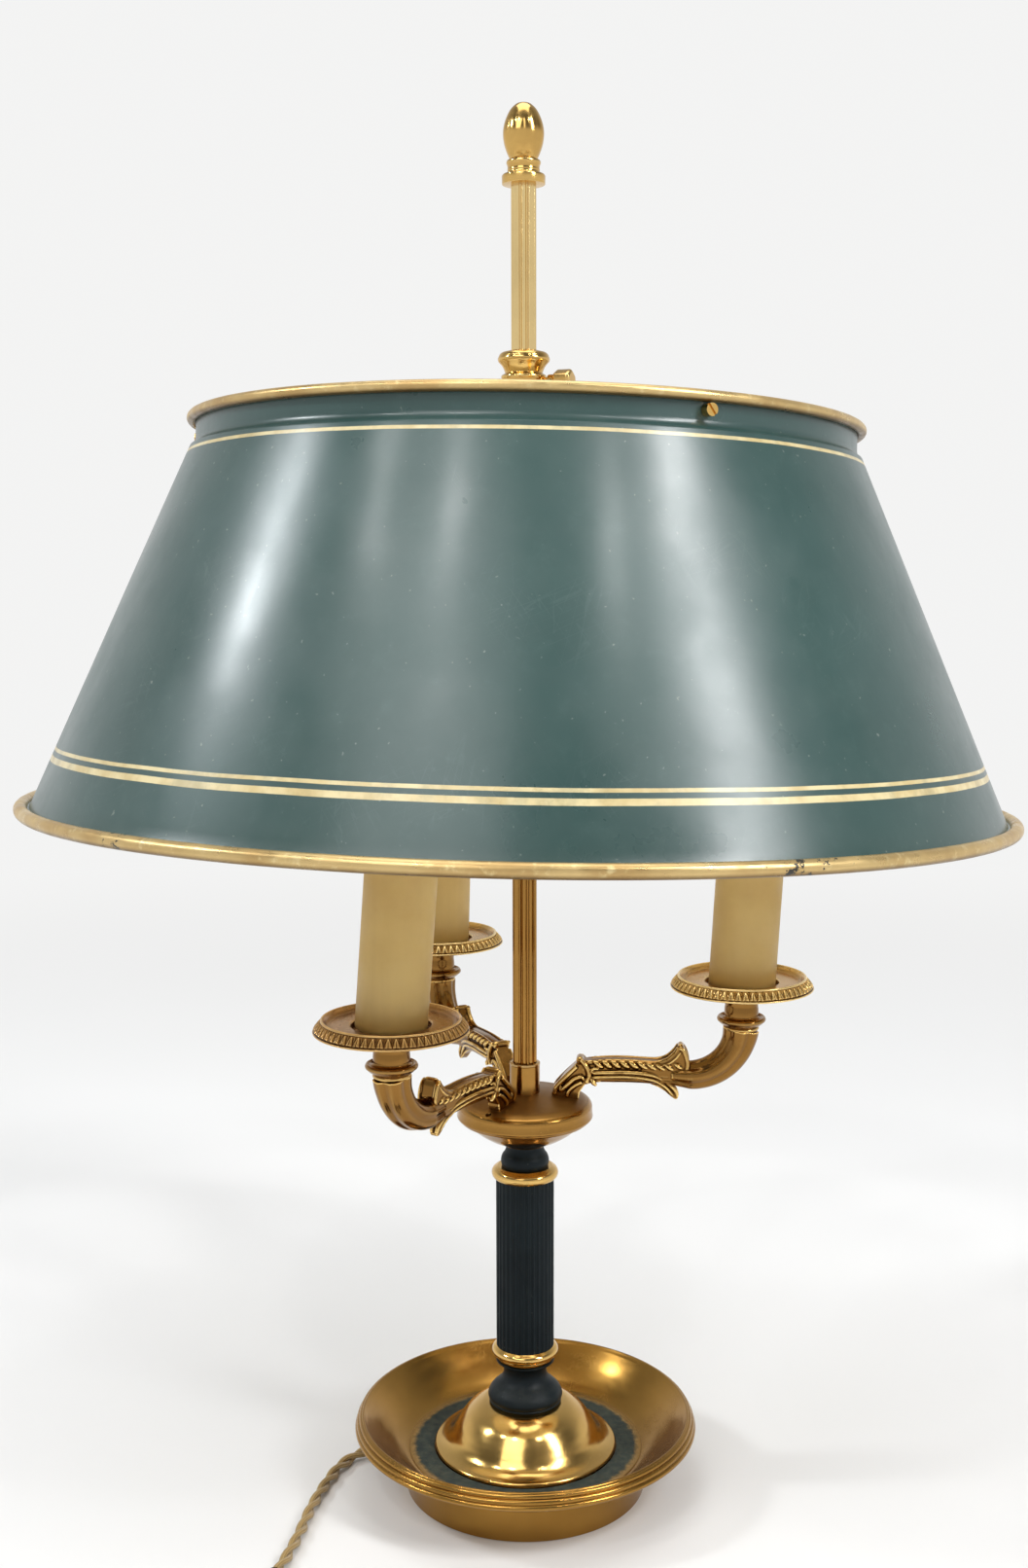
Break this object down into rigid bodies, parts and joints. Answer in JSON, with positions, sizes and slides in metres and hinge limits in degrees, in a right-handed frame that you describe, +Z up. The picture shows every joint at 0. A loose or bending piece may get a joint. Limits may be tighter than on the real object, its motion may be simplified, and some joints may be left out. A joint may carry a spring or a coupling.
{
  "type": "bouillotte lamp",
  "caption": "Brass bouillotte table lamp: reeded dish base, fluted green column, scrolled candle arms with drip pans, and a sliding, turning green metal shade on a fluted stem.",
  "frame": {"origin": "centre of the foot ring's rest face", "axes": "+Z up along the stem, +X to the right and +Y to the back as seen from the front, the right-hand arm near +X"},
  "size_m": [0.3885, 0.3883, 0.5589],
  "materials": {
    "polished_brass": "lacquered, polished",
    "antique_brass": "lacquered, darkened in the hollows",
    "gold_paint": "worn gold paint on a rolled edge",
    "green_enamel": "satin stove enamel",
    "dark_green_paint": "satin paint on turned metal",
    "well_paint": "dusty dark green paint",
    "ivory_card": "yellowed ivory card candle sleeve",
    "bulb_glass": "clear glass with a plain screw cap",
    "black_phenolic": "moulded lampholder",
    "plated_steel": "zinc plated",
    "cast_iron": "as cast",
    "green_felt": "felt",
    "wire_insulation": "insulated wire",
    "cord_cloth": "twisted cloth-covered pair",
    "brown_plastic": "moulded, glossy",
    "brown_rocker": "moulded, glossy",
    "pin_brass": "nickel-plated pins"
  },
  "bodies": {
    "stand": {"arm_left": "antique_brass", "arm_rear": "antique_brass", "arm_right": "antique_brass", "arm_screws": "plated_steel", "base_dish": "polished_brass", "base_dome": "polished_brass", "base_felt": "green_felt", "base_nut": "plated_steel", "base_washer": "plated_steel", "base_weight": "cast_iron", "candle_cup_left": "antique_brass", "candle_cup_rear": "antique_brass", "candle_cup_right": "antique_brass", "candle_nipples": "plated_steel", "column": "dark_green_paint", "column_foot": "dark_green_paint", "cord": "cord_cloth", "cord_bushing": "polished_brass", "cord_coil": "cord_cloth", "cord_switch": "brown_plastic", "drip_pan_left": "antique_brass", "drip_pan_rear": "antique_brass", "drip_pan_right": "antique_brass", "ferrule": "polished_brass", "holder_strap_left": "plated_steel", "holder_strap_rear": "plated_steel", "holder_strap_right": "plated_steel", "hub_bowl": "polished_brass", "hub_cap": "polished_brass", "inner_wires": "wire_insulation", "lampholder_left": "black_phenolic", "lampholder_rear": "black_phenolic", "lampholder_right": "black_phenolic", "lower_ring": "polished_brass", "nipple_nuts": "plated_steel", "plug_body": "brown_plastic", "plug_pins": "pin_brass", "rod_cap": "polished_brass", "spool": "dark_green_paint", "stem": "polished_brass", "terminal_block": "black_phenolic", "tie_tube": "plated_steel", "upper_ring": "polished_brass", "well_ring": "well_paint"},
    "shade_carriage": {"shade_collar": "polished_brass", "collar_nut": "antique_brass"},
    "shade": {"shade_shell": "green_enamel", "shade_top_bead": "gold_paint", "shade_bottom_bead": "gold_paint", "shade_spider": "plated_steel", "shade_screws": "antique_brass"},
    "thumbscrew": {"collar_thumbscrew": "polished_brass"},
    "finial": {"finial": "polished_brass"},
    "rocker": {"switch_rocker": "brown_rocker"},
    "sleeve_right": {"candle_sleeve_right": "ivory_card"},
    "bulb_right": {"bulb_right": "bulb_glass"},
    "sleeve_rear": {"candle_sleeve_rear": "ivory_card"},
    "bulb_rear": {"bulb_rear": "bulb_glass"},
    "sleeve_left": {"candle_sleeve_left": "ivory_card"},
    "bulb_left": {"bulb_left": "bulb_glass"}
  },
  "joints": [
    {"name": "shade_slide", "type": "slide", "parent": "stand", "child": "shade_carriage", "axis": [0, 0, 1], "range_m": [-0.045, 0.05]},
    {"name": "shade_turn", "type": "hinge", "parent": "shade_carriage", "child": "shade", "pos_m": [0, 0, 0.44], "axis": [0, 0, 1], "continuous": true},
    {"name": "thumbscrew_turn", "type": "hinge", "parent": "shade_carriage", "child": "thumbscrew", "pos_m": [0.01483, -0.00599, 0.4534], "axis": [0.9272, -0.3746, 0], "range_deg": [0, 540]},
    {"name": "finial_turn", "type": "hinge", "parent": "stand", "child": "finial", "pos_m": [0, 0, 0.5379], "axis": [0, 0, 1], "range_deg": [0, 720]},
    {"name": "switch_rock", "type": "hinge", "parent": "stand", "child": "rocker", "pos_m": [-0.0965, -0.129, 0.0155], "axis": [1, 0, 0], "range_deg": [-18, 0]},
    {"name": "sleeve_lift_right", "type": "slide", "parent": "stand", "child": "sleeve_right", "axis": [0.0558, 0, 0.9984], "range_m": [0, 0.005]},
    {"name": "bulb_turn_right", "type": "hinge", "parent": "stand", "child": "bulb_right", "pos_m": [0.0878, -0.00591, 0.2144], "axis": [0.0558, 0, 0.9984], "range_deg": [0, 1080]},
    {"name": "sleeve_lift_rear", "type": "slide", "parent": "stand", "child": "sleeve_rear", "axis": [0.0297, 0, 0.9996], "range_m": [0, 0.005]},
    {"name": "bulb_turn_rear", "type": "hinge", "parent": "stand", "child": "bulb_rear", "pos_m": [-0.03878, 0.07899, 0.21405], "axis": [0.0297, 0, 0.9996], "range_deg": [0, 1080]},
    {"name": "sleeve_lift_left", "type": "slide", "parent": "stand", "child": "sleeve_left", "axis": [0.0732, 0, 0.9973], "range_m": [0, 0.005]},
    {"name": "bulb_turn_left", "type": "hinge", "parent": "stand", "child": "bulb_left", "pos_m": [-0.04902, -0.07308, 0.21464], "axis": [0.0732, 0, 0.9973], "range_deg": [0, 1080]}
  ]
}
